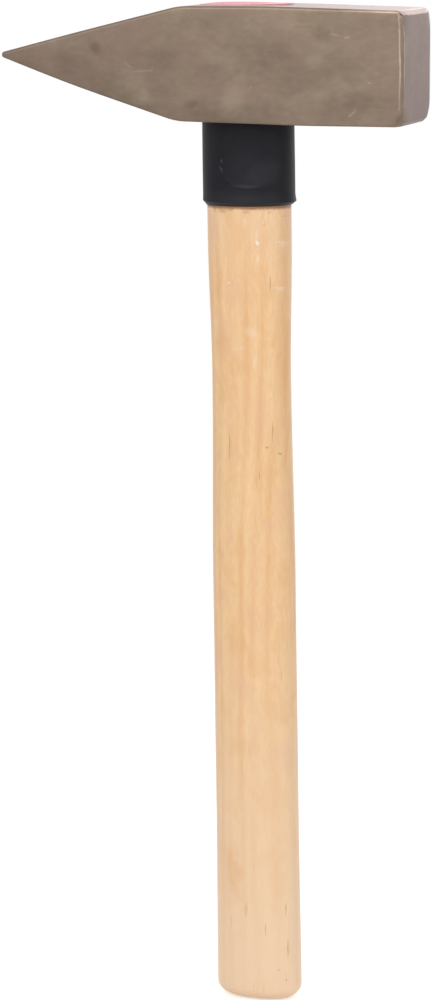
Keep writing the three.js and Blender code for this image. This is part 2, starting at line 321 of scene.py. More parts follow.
bronzeLook = {
    "dull": "#7c6d5f",
    "pale": "#887869",
    "dark": "#726357",
    "warm": "#846f65",
    "worn": "#c0ae9c",
    "spot": "#66574b",
    "edgeTint": "#fbf7ff",
    "drawnOut": (0.65, 1.0, 1.0),  # its clouds are longer along the head
    "cloudSize": 12.0,  # mm
    "warmthSize": 17.0,
    "warmCover": (0.45, 0.65, 0.45),  # pattern values where it starts and is full, and its largest share
    "mottleSize": 2.4,
    "mottleLevels": (0.3, 0.7, 0.96, 1.04),
    "paintedLightTowards": (0.9, 0.0, 2.6),  # painted light: paler towards the face and the top, as lit from above
    "paintedLightLevels": (0.62, 0.76, 0.9, 1.12),
    "scratchTilts": (40, 80, 97),  # degrees
    "scratchSize": (9.0, 3.0, 0.45),  # mm; real ones are 0.1 wide, drawn coarser so that they show
    "scratchCover": (0.7, 0.8, 0.12),
    "wearCover": (0.25, 0.66, 0.95),
    "roughness": (0.41, 0.48),  # in dark clouds and in pale ones
    "bump": (0.12, 0.2),  # strength, and height in mm
    "fineFray": (1.2, 0.5),  # size and reach of the raggedness of marks, mm
    "coarseFray": (4.0, 2.0),
    "markedSide": (-21.0, 5.0),  # the cheek in front
    "scratches": (  # x and z, half width, half height, tilt and strength
        (-42.3, 269.8, 0.4, 2.2, -50, 0.18), (-37, 267.6, 6, 0.4, -4, 0.16),
        (-33, 268.6, 0.4, 1.4, 40, 0.15), (36.5, 281.3, 2.4, 0.5, 8, 0.2),
        (41, 280.4, 1.6, 0.5, -12, 0.2), (49.5, 264.3, 0.6, 0.6, 0, 0.3),
        (42.9, 253.1, 0.35, 2.6, 48, 0.22), (4.5, 262, 0.5, 1, 30, 0.16),
        (24, 285, 6, 0.6, -2, 0.09),
    ),
    "rubs": (
        (29, 271.9, 5, 4, 10, 0.1), (-2.4, 257.5, 5.5, 8, 18, 0.1),
        (-36, 258, 5, 3, 25, 0.1),
    ),
    "spots": (
        (-55.2, 275.9, 3.4, 3, 20, 0.6), (-17.8, 255.9, 3.6, 2.2, 0, 0.5),
        (31.5, 281.6, 4.5, 3.2, 25, 0.3), (46, 257, 7, 5, 0, 0.22),
        (-68, 272, 6, 4, 0, 0.25),
    ),
}


def bronzeMaterial(look):
    material, tree, place = newMaterial("ground dulled aluminium bronze")
    drawn = addNode(tree, "ShaderNodeMapping", {"Vector": place, "Scale": look["drawnOut"]})
    clouds = addNode(tree, "ShaderNodeTexNoise", {
        "Vector": drawn, "Scale": perMetre(look["cloudSize"]), "Detail": 5.0, "Roughness": 0.66,
        "Distortion": 0.1,
    })
    cloudColour = addNode(tree, "ShaderNodeValToRGB", {"Fac": clouds}, [
        (0.32, look["dark"]), (0.7, look["pale"]), (0.5, look["dull"]),
    ])
    warmth = addNode(tree, "ShaderNodeTexNoise", {
        "Vector": drawn, "Scale": perMetre(look["warmthSize"]), "Detail": 3.0, "Distortion": 0.2,
    })
    warmed = paintWhere(tree, cloudColour, warmth, look["warmCover"], look["warm"])
    mottle = addNode(tree, "ShaderNodeTexNoise", {
        "Vector": drawn, "Scale": perMetre(look["mottleSize"]), "Detail": 4.0, "Roughness": 0.6,
    })
    mottled = shadeWhere(tree, warmed, mottle, look["mottleLevels"])
    # Painted light: the metal is drawn paler towards the top and the face, as if lit more from above.
    along = addNode(tree, "ShaderNodeVectorMath", {
        0: place, 1: look["paintedLightTowards"],
    }, operation="DOT_PRODUCT")
    colour = shadeWhere(tree, mottled, along, look["paintedLightLevels"])
    for tilt in look["scratchTilts"]:
        lines = strandNoise(tree, place, look["scratchSize"], {"Detail": 1.0, "Roughness": 0.4}, tilt)
        colour = paintWhere(tree, colour, lines, look["scratchCover"], look["worn"])
    finely = raggedPlace(tree, place, look["fineFray"])
    coarsely = raggedPlace(tree, place, look["coarseFray"])
    for marks, moved, tone in (
        ("spots", coarsely, "spot"), ("rubs", coarsely, "worn"), ("scratches", finely, "worn"),
    ):
        colour = paintMarks(tree, colour, moved, look, marks, tone)
    wear = addNode(tree, "ShaderNodeAttribute", attribute_name="edgeWear")
    patchyWear = addNode(tree, "ShaderNodeMath", {
        0: wear.outputs["Fac"], 1: clouds,
    }, operation="MULTIPLY")
    colour = paintWhere(tree, colour, patchyWear, look["wearCover"], look["worn"])
    roughness = addNode(tree, "ShaderNodeMapRange", {
        "Value": clouds, "From Min": 0.3, "From Max": 0.7,
        "To Min": look["roughness"][0], "To Max": look["roughness"][1],
    })
    finishSurface(tree, mottle, look["bump"], {
        "Base Color": colour, "Metallic": 1.0, "Roughness": roughness,
        "Specular Tint": linearColour(look["edgeTint"]),
    })
    return material


# Ash: rift-sawn, shaped on a copying lathe, sanded and clear lacquered.
# To the eye: pale and warm, paler still at the butt, with soft streaks and warm patches, fine fibres,
# thin dark lines and a few knocks.

ashLook = {
    "light": "#fcd29f",
    "mean": "#f7cc99",
    "deep": "#f0bd86",
    "pink": "#efbc97",
    "warm": "#ecb47b",
    "butt": "#fcdebe",
    "pore": "#b98a5c",
    "line": "#9c6c44",
    "scuff": "#fff0e0",
    "smudge": "#9a5a3a",
    "rubAndShade": "#84502f",
    "ringSpacing": 2.3,  # mm
    "pith": (-0.055, 0.038, 0.0),  # metres from the handle's axis
    "drawnOut": (1.0, 1.0, 0.09),  # the streaks are long, up the handle
    "bendSize": 22.0,  # the rings' slow bends, mm
    "bendReach": 0.012,  # metres
    "figureSize": 6.0,
    "figureShare": 0.75,  # how far the streaks hide the rings
    "patchDrawn": (1.0, 1.0, 0.5),
    "patchSize": 9.0,
    "pinkCover": (0.52, 0.7, 0.5),
    "warmCover": (0.48, 0.3, 0.5),
    "buttCover": (0.06, -0.075, 0.72),  # metres up the handle, and the largest share
    "neckCover": (0.185, 0.222, 0.25),
    "fibreSize": (0.9, 0.9, 4.0),  # bundles of fibres, drawn coarser than real so that they show
    "fibreLevels": (0.3, 0.7, 0.94, 1.04),
    "poreSize": (0.35, 0.35, 9.0),  # real ones are 0.2 wide, drawn coarser so that they show
    "poreCover": (0.72, 0.82, 0.3),
    "rubAndShadeCover": (0.2164, 0.2173, 0.85),  # where the sleeve's lip has rubbed, drawn darker still as painted shade under the lip, metres up the handle
    "bump": (0.1, 0.2),
    "roughness": 0.5,
    "coat": 0.25,
    "coatRoughness": 0.3,
    "fineFray": (1.5, 0.35),
    "coarseFray": (5.0, 3.0),
    "markedSide": (-11.0, 20.0),  # the front
    "lines": (  # x and z, half width, half height, tilt and strength
        (-7.2, 128, 0.25, 8, 0, 0.6), (9, 133.5, 0.25, 5, 0, 0.45), (4.5, 117, 0.25, 2.2, 0, 0.45),
        (8.4, 189.7, 0.25, 4, 0, 0.45), (6.6, -60.3, 0.25, 3.6, 0, 0.4), (13.7, -52.6, 0.3, 3.6, 0, 0.35),
        (14.4, -68.2, 0.4, 4.8, 0, 0.35), (-1.1, -52.7, 0.8, 4, 0, 0.2), (7.2, 127.7, 0.7, 0.4, -20, 0.6),
        (11.4, 125, 1, 0.5, 40, 0.5), (11.4, -76.5, 0.5, 0.5, 0, 0.3), (13.8, -80.8, 0.5, 0.6, 0, 0.3),
    ),
    "scuffs": (
        (4, 204.5, 0.8, 1.5, -22, 0.85), (12.2, 204.4, 2.4, 0.6, 8, 0.4), (12.4, 203.8, 1.6, 1.6, 0, 0.25),
        (11.4, 187.5, 2.2, 0.5, 6, 0.4), (11.9, 187, 1.5, 1.3, 0, 0.22), (-7, 189.5, 0.7, 0.7, 0, 0.5),
        (4.2, 198.6, 0.6, 2.2, 0, 0.3), (3.9, 207.4, 1, 3, 0, 0.25), (-0.5, 212, 1.2, 2.6, 0, 0.25),
        (1.5, 171, 3.4, 2.4, 30, 0.18), (-2.4, 165, 1.8, 1, -35, 0.22),
        (3, 160, 1, 3, 15, 0.2),
        (4.9, 215.2, 0.4, 1, 0, 0.25), (7, 213.7, 0.4, 1.3, 0, 0.3), (8.7, 215.1, 0.4, 0.9, 0, 0.25),
        (6, 212.2, 0.4, 1.1, 0, 0.25), (10, 212.1, 0.5, 1, 0, 0.2), (-11.6, 213.6, 0.4, 0.8, 0, 0.2),
    ),
    "smudges": (
        (-13, 216.5, 1.2, 1.4, 0, 0.3), (-9.6, 216.2, 2.4, 1.4, 10, 0.35), (-6.2, 216.6, 1.6, 1, 0, 0.3),
        (0, 215.9, 2, 0.8, 0, 0.25), (8.3, 215.8, 1, 1, 0, 0.2), (12.5, 214, 1.2, 0.4, 0, 0.18),
        (6.6, 211, 0.3, 1, 0, 0.2),
    ),
    "stains": (
        (-6, -38, 3.8, 14, -6, 0.42), (11, -40, 3, 20, 0, 0.2),
        (-10, 165, 4.5, 9, 0, 0.38), (-5, 158, 7, 5, 0, 0.32),
        (-9.5, 149, 4.5, 8, 0, 0.32), (-5, 54, 5, 11, 0, 0.28),
        (4, 44, 5, 6, 0, 0.2), (-2, 12, 8, 5, 0, 0.2),
    ),
}


def ashFigure(tree, place, look):
    fromPith = addNode(tree, "ShaderNodeVectorMath", {0: place, 1: look["pith"]}, operation="SUBTRACT")
    drift = addNode(tree, "ShaderNodeMapping", {"Vector": place, "Scale": look["drawnOut"]})
    bend = addNode(tree, "ShaderNodeTexNoise", {
        "Vector": drift, "Scale": perMetre(look["bendSize"]), "Detail": 2.0,
    })
    shift = addNode(tree, "ShaderNodeVectorMath", {
        0: bend.outputs["Color"], "Scale": look["bendReach"],
    }, operation="SCALE")
    grown = addNode(tree, "ShaderNodeVectorMath", {0: fromPith, 1: shift}, operation="ADD")
    flat = addNode(tree, "ShaderNodeVectorMath", {0: grown, 1: (1.0, 1.0, 0.0)}, operation="MULTIPLY")
    radius = addNode(tree, "ShaderNodeVectorMath", {0: flat}, operation="LENGTH")
    rings = addNode(tree, "ShaderNodeMath", {
        0: radius, 1: perMetre(look["ringSpacing"]),
    }, operation="MULTIPLY")
    ringShare = addNode(tree, "ShaderNodeMath", {0: rings, 1: 1.0}, operation="PINGPONG")
    figure = addNode(tree, "ShaderNodeTexNoise", {
        "Vector": drift, "Scale": perMetre(look["figureSize"]), "Detail": 3.0, "Roughness": 0.6,
    })
    tone = addNode(tree, "ShaderNodeMix", {0: look["figureShare"], 2: ringShare, 3: figure})
    streaks = addNode(tree, "ShaderNodeValToRGB", {"Fac": tone}, [
        (0.27, look["deep"]), (0.73, look["light"]), (0.5, look["mean"]),
    ])
    fibres = strandNoise(tree, place, look["fibreSize"], {
        "Detail": 3.0, "Roughness": 0.7, "Distortion": 0.4,
    })
    return shadeWhere(tree, streaks, fibres, look["fibreLevels"])


def ashMaterial(look):
    material, tree, place = newMaterial("clear lacquered ash")
    colour = ashFigure(tree, place, look)
    drawn = addNode(tree, "ShaderNodeMapping", {"Vector": place, "Scale": look["patchDrawn"]})
    patches = addNode(tree, "ShaderNodeTexNoise", {
        "Vector": drawn, "Scale": perMetre(look["patchSize"]), "Detail": 3.0, "Distortion": 0.6,
    })
    for tone in ("pink", "warm"):
        colour = paintWhere(tree, colour, patches, look[tone + "Cover"], look[tone])
    height = addNode(tree, "ShaderNodeSeparateXYZ", {"Vector": place}).outputs["Z"]
    for cover in ("buttCover", "neckCover"):
        colour = paintWhere(tree, colour, height, look[cover], look["butt"])
    pores = strandNoise(tree, place, look["poreSize"], {"Detail": 1.0, "Roughness": 0.3})
    colour = paintWhere(tree, colour, pores, look["poreCover"], look["pore"])
    finely = raggedPlace(tree, place, look["fineFray"])
    coarsely = raggedPlace(tree, place, look["coarseFray"])
    for marks, moved, tone in (
        ("stains", coarsely, "warm"), ("lines", finely, "line"),
        ("smudges", finely, "smudge"), ("scuffs", finely, "scuff"),
    ):
        colour = paintMarks(tree, colour, moved, look, marks, tone)
    # The band under the sleeve's lip: a real rub, drawn darker still as painted shade from the lip.
    raggedHeight = addNode(tree, "ShaderNodeSeparateXYZ", {"Vector": finely}).outputs["Z"]
    colour = paintWhere(tree, colour, raggedHeight, look["rubAndShadeCover"], look["rubAndShade"])
    finishSurface(tree, pores, look["bump"], {
        "Base Color": colour, "Roughness": look["roughness"],
        "Coat Weight": look["coat"], "Coat Roughness": look["coatRoughness"],
    })
    return material


# Black natural rubber: moulded as a tube and drawn on.
# To the eye: satin, nearly black with a cold tint, dusty in patches.

rubberLook = {
    "black": "#131319",
    "dusty": "#191920",
    "paintedGlint": "#4a4a50",
    "paintedPale": "#44464c",
    "patchSize": 14.0,  # mm
    "grainSize": 0.7,  # real mould texture is 0.1, drawn coarser so that it shows
    "bump": (0.08, 0.2),
    "roughness": 0.5,
    "specular": 0.17,
    "fray": (2.0, 0.5),
    "markedSide": (-12.0, 10.0),  # the front
    # painted glints on the left rim of the dish
    "paintedGlints": (  # x and z, half width, half height, tilt and strength
        (-9.2, 234.6, 0.4, 1, 0, 0.6), (-9.6, 231.6, 0.6, 1.6, -20, 0.45),
    ),
    "paintedPaleMarks": (  # painted light: paler patches in the dish, brightest at its lower rim, and along the lower band, where the rubber catches light from below; most of it low and towards the face
        (0, 233, 10, 9, 0, 0.08), (5.5, 230, 9, 6.5, -25, 0.22), (0.5, 225.4, 7.5, 1.1, 0, 0.3),
        (0, 219.5, 22, 6, 0, 0.2),
    ),
}


def rubberMaterial(look):
    material, tree, place = newMaterial("satin moulded rubber")
    patches = addNode(tree, "ShaderNodeTexNoise", {
        "Vector": place, "Scale": perMetre(look["patchSize"]), "Detail": 4.0, "Roughness": 0.6,
    })
    colour = addNode(tree, "ShaderNodeValToRGB", {"Fac": patches}, [
        (0.35, look["black"]), (0.75, look["dusty"]),
    ])
    ragged = raggedPlace(tree, place, look["fray"])
    # Painted light: paler patches in the dish and along the lower band, and painted glints on the dish's
    # rim.
    for marks, tone in (("paintedPaleMarks", "paintedPale"), ("paintedGlints", "paintedGlint")):
        colour = paintMarks(tree, colour, ragged, look, marks, tone)
    grain = addNode(tree, "ShaderNodeTexNoise", {
        "Vector": place, "Scale": perMetre(look["grainSize"]), "Detail": 2.0,
    })
    finishSurface(tree, grain, look["bump"], {
        "Base Color": colour, "Roughness": look["roughness"], "Specular IOR Level": look["specular"],
    })
    return material


# Red sealing lacquer: the handle's end is dipped in it and left to dry.
# To the eye: a thin satin skin, a little uneven, and paler towards its rim, which is a painted sheen of the
# light it reflects there.

lacquerLook = {
    "red": "#dd2c46",
    "deep": "#cf2039",
    "thin": "#f7b9bf",
    "paintedSheenCover": (0.85, 0.3, 0.8),  # painted sheen: heights above the top of the head in mm, and the largest share
    "flowSize": 6.0,
    "bump": (0.15, 0.5),
    "roughness": 0.5,
    "coat": 0.3,
    "coatRoughness": 0.4,
}


def lacquerMaterial(look):
    material, tree, place = newMaterial("red dipped lacquer")
    flow = addNode(tree, "ShaderNodeTexNoise", {
        "Vector": place, "Scale": perMetre(look["flowSize"]), "Detail": 2.0,
    })
    colour = addNode(tree, "ShaderNodeValToRGB", {"Fac": flow}, [
        (0.3, look["deep"]), (0.7, look["red"]),
    ])
    # Painted sheen: the lacquer is drawn pale pink low on its crown and at its rim.
    start, full, most = look["paintedSheenCover"]
    paintedSheenCover = ((headHigh.z + start) / 1000, (headHigh.z + full) / 1000, most)
    height = addNode(tree, "ShaderNodeSeparateXYZ", {"Vector": place}).outputs["Z"]
    finishSurface(tree, flow, look["bump"], {
        "Base Color": paintWhere(tree, colour, height, paintedSheenCover, look["thin"]),
        "Roughness": look["roughness"],
        "Coat Weight": look["coat"], "Coat Roughness": look["coatRoughness"],
    })
    return material


# The two hidden wedges.
# Beech, sawn: matte, pale brown, with a fine grain. Brass, turned: satin yellow, a little uneven.

beechLook = {
    "light": "#c99b6b",
    "dark": "#b98657",
    "grainSize": 1.5,  # mm
    "metallic": 0.0,
    "roughness": 0.7,
}
brassLook = {
    "light": "#b5935a",
    "dark": "#9c7c48",
    "grainSize": 3.0,
    "metallic": 1.0,
    "roughness": 0.35,
}


def wedgeMaterial(name, look):
    material, tree, place = newMaterial(name)
    grain = addNode(tree, "ShaderNodeTexNoise", {
        "Vector": place, "Scale": perMetre(look["grainSize"]), "Detail": 3.0,
    })
    colour = addNode(tree, "ShaderNodeValToRGB", {"Fac": grain}, [
        (0.3, look["light"]), (0.7, look["dark"]),
    ])
    surface = addNode(tree, "ShaderNodeBsdfPrincipled", {
        "Base Color": colour, "Metallic": look["metallic"], "Roughness": look["roughness"],
    })
    addNode(tree, "ShaderNodeOutputMaterial", {"Surface": surface})
    return material


bronze = bronzeMaterial(bronzeLook)
ash = ashMaterial(ashLook)
rubber = rubberMaterial(rubberLook)
redLacquer = lacquerMaterial(lacquerLook)
beech = wedgeMaterial("sawn beech", beechLook)
brass = wedgeMaterial("turned brass", brassLook)
print("materials made")

# Eye through the head, which the handle's tenon and the lacquer follow

eyeSizes = {
    "top": (17.7, 12.6),  # half length along the head, half width across it
    "waist": (15.2, 10.8),
    "bottom": (15.9, 11.7),
    "waistRise": 17.7,  # above the underside
    "rimChamfer": 0.5,
    "clearance": 0.3,
    "cutMargin": 2.0,
}
waistHeight = headLow.z + eyeSizes["waistRise"]


def eyeOval(height):
    if height < waistHeight:
        share = (waistHeight - height) / eyeSizes["waistRise"]
        return mixOval(eyeSizes["waist"], eyeSizes["bottom"], share)
    share = (height - waistHeight) / (headHigh.z - waistHeight)
    return mixOval(eyeSizes["waist"], eyeSizes["top"], share)


def eyeCutter():
    margin, rim = eyeSizes["cutMargin"], eyeSizes["rimChamfer"]
    return leaningPiece("eyeCutter", [
        ovalRing(eyeSizes["bottom"], headLow.z - margin),
        ovalRing(eyeOval(headLow.z), headLow.z),
        ovalRing(eyeOval(waistHeight), waistHeight),
        ovalRing(eyeOval(headHigh.z - rim), headHigh.z - rim),
        ovalRing(eyeSizes["top"], headHigh.z + margin, margin + rim),
    ])


# Head: sections across its length, from the edge of the peen to the dressed face

headSizes = {
    "faceReach": 64.7,  # from the eye's middle to the striking face
    "faceTopFall": 1.4,
    "crestReach": 14.4,
    "levelReach": 26.4,
    "peenReach": 92.1,  # to where the flanks of the peen would meet
    "peenDrop": 18.0,
    "peenRadius": 1.15,
    "flankCrowns": (0.2, 0.85),  # how far the upper and lower flanks of the peen stand out
    "flankCrownShare": 0.42,  # where, from the tip to the shoulder
    "flankCrownRadius": 600.0,
    "topShoulder": (-19.9, 32.0),  # place from the eye and radius
    "bottomShoulder": (-21.4, 25.0),
    "bottomShoulderRise": 1.0,
    "lowerEdgeRadius": 0.55,
    "upperEdgeRadius": 1.1,  # these are knocked rounder
    "peenCornerRadius": 1.0,
    "arcSteps": (12, 8, 24),  # round the peen's tip, its flanks and the shoulders
    "bendStretch": (-27.0, -15.0),  # from the eye, where the sections stand closer
    "faceStretch": 6.0,  # behind the face, where they do so again
    "faceChamfer": 1.5,
    "faceCorners": {  # side and height: radius on the flat and at the chamfer's outer edge
        (-1, 1): (2.6, 1.2),
        (1, 1): (2.4, 3.2),
        (1, -1): (5.5, 7.0),
        (-1, -1): (4.2, 3.6),
    },
    "facetSlopes": (0.12, 1.0),  # of the corner that is ground off, across and up
    "facetPlace": (-19.4, -2.1),  # where it leaves the flat, from the middle and from the top
    "faceFlatRadius": 23.4,
    "cornerDressing": 0.15,  # fall per millimetre of radius
    "chamferWaver": 0.16,  # how far the hand-ground chamfer wanders
    "waverRate": 0.16,  # and how quickly, per millimetre
    "waverFade": 2.5,  # behind the chamfer, where it dies out
    "chamferBow": 0.85,  # how much wider it is at the corners than half way, on the near side
    "bowLevel": 0.45,  # taken off it everywhere, so that it is narrower half way
    "chamferRound": 0.014,  # softening of its outer edge, as a share of the half width
    "wearTurns": (6.0, 14.0),  # degrees between facets where an edge starts to show wear and is bare
    "wearFade": 40.0,  # from the face, over which the wear loses wearLoss of its strength
    "wearLoss": 0.8,
    "wearRise": 9.0,  # above the underside, over which it sets in
}
eyeX = headHigh.x - headSizes["faceReach"]
halfHead = (headHigh.y - headLow.y) / 2
faceTop = headHigh.z - headSizes["faceTopFall"]
faceMiddle = (faceTop + headLow.z) / 2


def headOutlines():
    sizes = headSizes
    tip = Vector((eyeX - sizes["peenReach"], headHigh.z - sizes["peenDrop"]))
    top = Vector((eyeX + sizes["topShoulder"][0], headHigh.z))
    bottom = Vector((eyeX + sizes["bottomShoulder"][0], headLow.z + sizes["bottomShoulderRise"]))
    crest = Vector((eyeX + sizes["crestReach"], headHigh.z))
    level = Vector((eyeX + sizes["levelReach"], headLow.z))
    share, crownRadius = sizes["flankCrownShare"], sizes["flankCrownRadius"]
    tipSteps, flankSteps, shoulderSteps = sizes["arcSteps"]
    topBend = tip.lerp(top, share) + Vector((0, sizes["flankCrowns"][0]))
    bottomBend = tip.lerp(bottom, share) - Vector((0, sizes["flankCrowns"][1]))
    centre, lowerTangent, upperTangent = fillet(bottomBend, tip, topBend, sizes["peenRadius"])
    outlines = []
    for tangent, bend, shoulder, radius, after, end in (
        (upperTangent, topBend, top, sizes["topShoulder"][1], crest, faceTop),
        (lowerTangent, bottomBend, bottom, sizes["bottomShoulder"][1], level, headLow.z),
    ):
        line = arcPoints(centre, sizes["peenRadius"], math.pi, tangent, tipSteps)
        bendArc = fillet(tip, bend, shoulder, crownRadius)
        line += arcPoints(bendArc[0], crownRadius, bendArc[1], bendArc[2], flankSteps)
        shoulderArc = fillet(bend, shoulder, after, radius)
        line += arcPoints(shoulderArc[0], radius, shoulderArc[1], shoulderArc[2], shoulderSteps)
        outlines.append(line + [after, Vector((headHigh.x, end))])
    return outlines


def heightAt(line, x):
    for before, after in zip(line, line[1:]):
        if x <= after.x:
            share = (x - before.x) / max(after.x - before.x, 1e-9)
            return before.y + (after.y - before.y) * max(0.0, share)
    return line[-1].y


def cornerPoint(x, corner, degrees):
    y, z, radius, _ = corner
    angle = math.radians(degrees)
    return Vector((x, y + radius * math.cos(angle), z + radius * math.sin(angle)))


def sectionRing(x, halfWidth, low, high):
    holds = (0.0, 0.02, 0.06, 0.1, 0.15, 0.2, 0.3, 0.4, 0.5, 0.6, 0.7, 0.8, 0.85, 0.9, 0.94, 0.98, 1.0)
    cornerSteps = 6
    largest = 0.45 * (high - low)  # so that the corners leave some flat at the thin end of the peen
    under = min(headSizes["lowerEdgeRadius"], largest)
    over = min(headSizes["upperEdgeRadius"], largest)
    corners = (  # middle, radius and the angle at which the corner starts
        (halfWidth - under, low + under, under, -90), (halfWidth - over, high - over, over, 0),
        (over - halfWidth, high - over, over, 90), (under - halfWidth, low + under, under, 180),
    )
    ring = []
    for corner, after in zip(corners, corners[1:] + corners[:1]):
        start, end = corner[3], after[3]
        for step in range(1, cornerSteps):
            ring.append(cornerPoint(x, corner, start + 90 * step / cornerSteps))
        first, last = cornerPoint(x, corner, end), cornerPoint(x, after, end)
        ring += [first.lerp(last, hold) for hold in holds]
    return ring


def roundedBoxDistance(y, z, halfWidth, halfHeight, radius):
    outY = abs(y) - halfWidth + radius
    outZ = abs(z) - halfHeight + radius
    return math.hypot(max(outY, 0), max(outZ, 0)) + min(max(outY, outZ), 0) - radius


def softMin(first, second, width):
    near = max(width - abs(first - second), 0) / width
    return min(first, second) - near * near * width / 4


def chamferedRing(ring, inset):
    sizes = headSizes
    halfHeight = (faceTop - headLow.z) / 2
    rate = sizes["waverRate"]
    shaped = []
    for point in ring:
        y, z = point.y, point.z - faceMiddle
        waver = sizes["chamferWaver"] * noise.noise(Vector((y * rate, z * rate, 3.0)))
        bow = sizes["chamferBow"] * ((z / halfHeight) ** 2 - sizes["bowLevel"])
        bow *= max(0.0, -y / halfHead) ** 4
        waver += bow * (1 - max(0.0, inset) / sizes["faceChamfer"])
        cut = inset + waver * easeStep((inset + sizes["waverFade"]) / sizes["waverFade"])
        onFlat, outer = sizes["faceCorners"][(1 if y > 0 else -1, 1 if z > 0 else -1)]
        radius = outer + (onFlat - outer) * max(0.0, cut / sizes["faceChamfer"]) - min(0.0, cut)
        low, high = 0.5, 1.2  # shares of the way out, halved until the point lies on the outline
        for _ in range(24):
            share = (low + high) / 2
            outside = roundedBoxDistance(y * share, z * share, halfHead - cut, halfHeight - cut, radius) > 0
            low, high = (low, share) if outside else (share, high)
        share = softMin(1.0, low, sizes["chamferRound"])
        shaped.append(Vector((point.x, y * share, faceMiddle + z * share)))
    return shaped


def dressCorners(ring):
    sizes = headSizes
    for point in ring:
        beyond = math.hypot(point.y, point.z - faceMiddle) - sizes["faceFlatRadius"]
        limit = headHigh.x - sizes["cornerDressing"] * max(beyond, 0)
        across, up = point.y - sizes["facetPlace"][0], point.z - faceTop - sizes["facetPlace"][1]
        facet = headHigh.x + sizes["facetSlopes"][0] * across - sizes["facetSlopes"][1] * up
        point.x = min(point.x, limit, facet)
    return ring


def headRings():
    sizes = headSizes
    upper, lower = headOutlines()
    tipX, faceX = upper[0].x, headHigh.x
    peenSteps = [sizes["peenRadius"] * (1 - math.cos(math.radians(angle))) for angle in range(0, 81, 10)]
    stations = [tipX + step for step in peenSteps]
    shoulderStart, shoulderEnd = (eyeX + place for place in sizes["bendStretch"])
    faceStart = faceX - sizes["faceStretch"]
    stations += [tipX + (shoulderStart - tipX) * share / 8 for share in range(1, 8)]
    stations += [shoulderStart + (shoulderEnd - shoulderStart) * share / 16 for share in range(17)]
    stations += [shoulderEnd + (faceStart - shoulderEnd) * share / 8 for share in range(1, 9)]
    rings = []
    corner = sizes["peenCornerRadius"]
    for x in sorted(stations):
        near = max(0.0, 1 - (x - tipX) / corner)
        halfWidth = halfHead - corner * (1 - math.sqrt(1 - near * near))
        low, high = heightAt(lower, x), heightAt(upper, x)
        rings.append(sectionRing(x, halfWidth, low, high))
    chamfer = sizes["faceChamfer"]
    backs = (5.0, 4.3, 3.7, 3.1, 2.7, 2.4, 2.15, 1.95, 1.75, 1.55, 1.3, 1.0, 0.7, 0.4)
    profile = [(back, chamfer - back) for back in backs]
    profile += [(0.2, chamfer - 0.16), (0.07, chamfer + 0.02), (0.0, chamfer + 0.25)]
    for back, inset in profile:
        x = faceX - back
        blank = sectionRing(x, halfHead, heightAt(lower, x), heightAt(upper, x))
        rings.append(dressCorners(chamferedRing(blank, inset)))
    centre = Vector((faceX, 0, faceMiddle))
    rim = rings[-1]
    for share in (0.96, 0.88, 0.75, 0.6, 0.45, 0.3, 0.15):
        ring = [centre + (Vector((faceX, point.y, point.z)) - centre) * share for point in rim]
        rings.append(dressCorners(ring))
    return rings


def markWear(piece):
    sizes = headSizes
    blunt, sharp = sizes["wearTurns"]
    bm = bmesh.new()
    bm.from_mesh(piece.data)
    layer = bm.verts.layers.float.new("edgeWear")
    for vert in bm.verts:
        turns = [edge.calc_face_angle(0.0) for edge in vert.link_edges]
        share = easeStep((math.degrees(max(turns)) - blunt) / (sharp - blunt))
        fromFace = headHigh.x - vert.co.x * 1000
        above = vert.co.z * 1000 - headLow.z
        share *= 1 - sizes["wearLoss"] * easeStep(fromFace / sizes["wearFade"])
        vert[layer] = share * easeStep(above / sizes["wearRise"])
    bm.to_mesh(piece.data)
    bm.free()


def buildHead():
    bm = bmesh.new()
    skinRings(bm, headRings())
    bmesh.ops.remove_doubles(bm, verts=bm.verts, dist=0.002)
    head = pieceInMm("bronzeHead", bm)
    cutAway(head, eyeCutter())
    markWear(head)
    smoothSurface(head)
    dress(head, bronze, "bronze", "head")


buildHead()
print("head made")

# Handle: ovals from the butt to the tenon, cut for the two wedges

handleSizes = {
    "gripHeight": 90.0,  # from the butt to the frame's origin
    "stations": (  # height above the butt, half length, half width
        (0.0, 16.5, 11.4), (80.0, 16.05, 11.5), (160.0, 15.9, 11.4),
        (245.2, 15.0, 10.9), (296.2, 15.85, 11.9),
    ),
    "buttRound": (5.1, 6.6),  # height of the rounding and how far it draws the butt in
    "buttRings": (0.3, 0.6, 0.85),  # shares of its flat end
    "buttSlant": 1.4,  # degrees that its end is off square, fading out over buttFade
    "buttFade": 14.0,
    "shoulderDrop": 15.3,
    "tenonRise": 0.02,  # above the top of the head
    "tenonChamfer": 1.1,
    "ringStep": 2.5,
    "kerfDepth": 33.0,
    "wedgeTop": 4.4,
    "wedgeToe": 1.6,
    "ringOuterRadius": 7.4,
    "ringTopWall": 2.0,
    "ringToeWall": 0.8,
    "ringDepth": 11.0,
}
lacquerSizes = {
    "skirt": 1.2,
    "rim": 0.35,
    "crown": 0.55,
    "crownSteps": 25,
    "fullness": 2.6,  # how flat the crown is in the middle and how steep at its rim
    "slant": 0.27,  # the end is sawn a little askew
    "slantOnset": 0.25,  # share of the way in from the rim where it is full
    "toeEdge": (0.02, 0.05),  # the blunt lower edge, its width and height
}
buttHeight = -handleSizes["gripHeight"]
shoulderHeight = headLow.z - handleSizes["shoulderDrop"]
skirtHeight = headHigh.z - lacquerSizes["skirt"]
tenonTop = headHigh.z + handleSizes["tenonRise"]


def handleOval(height):
    stations = handleSizes["stations"]
    above = height - buttHeight
    for lower, upper in zip(stations, stations[1:]):
        if above <= upper[0]:
            share = (above - lower[0]) / (upper[0] - lower[0])
            return mixOval(lower[1:], upper[1:], (1 - math.cos(math.pi * share)) / 2)
    return stations[-1][1:]


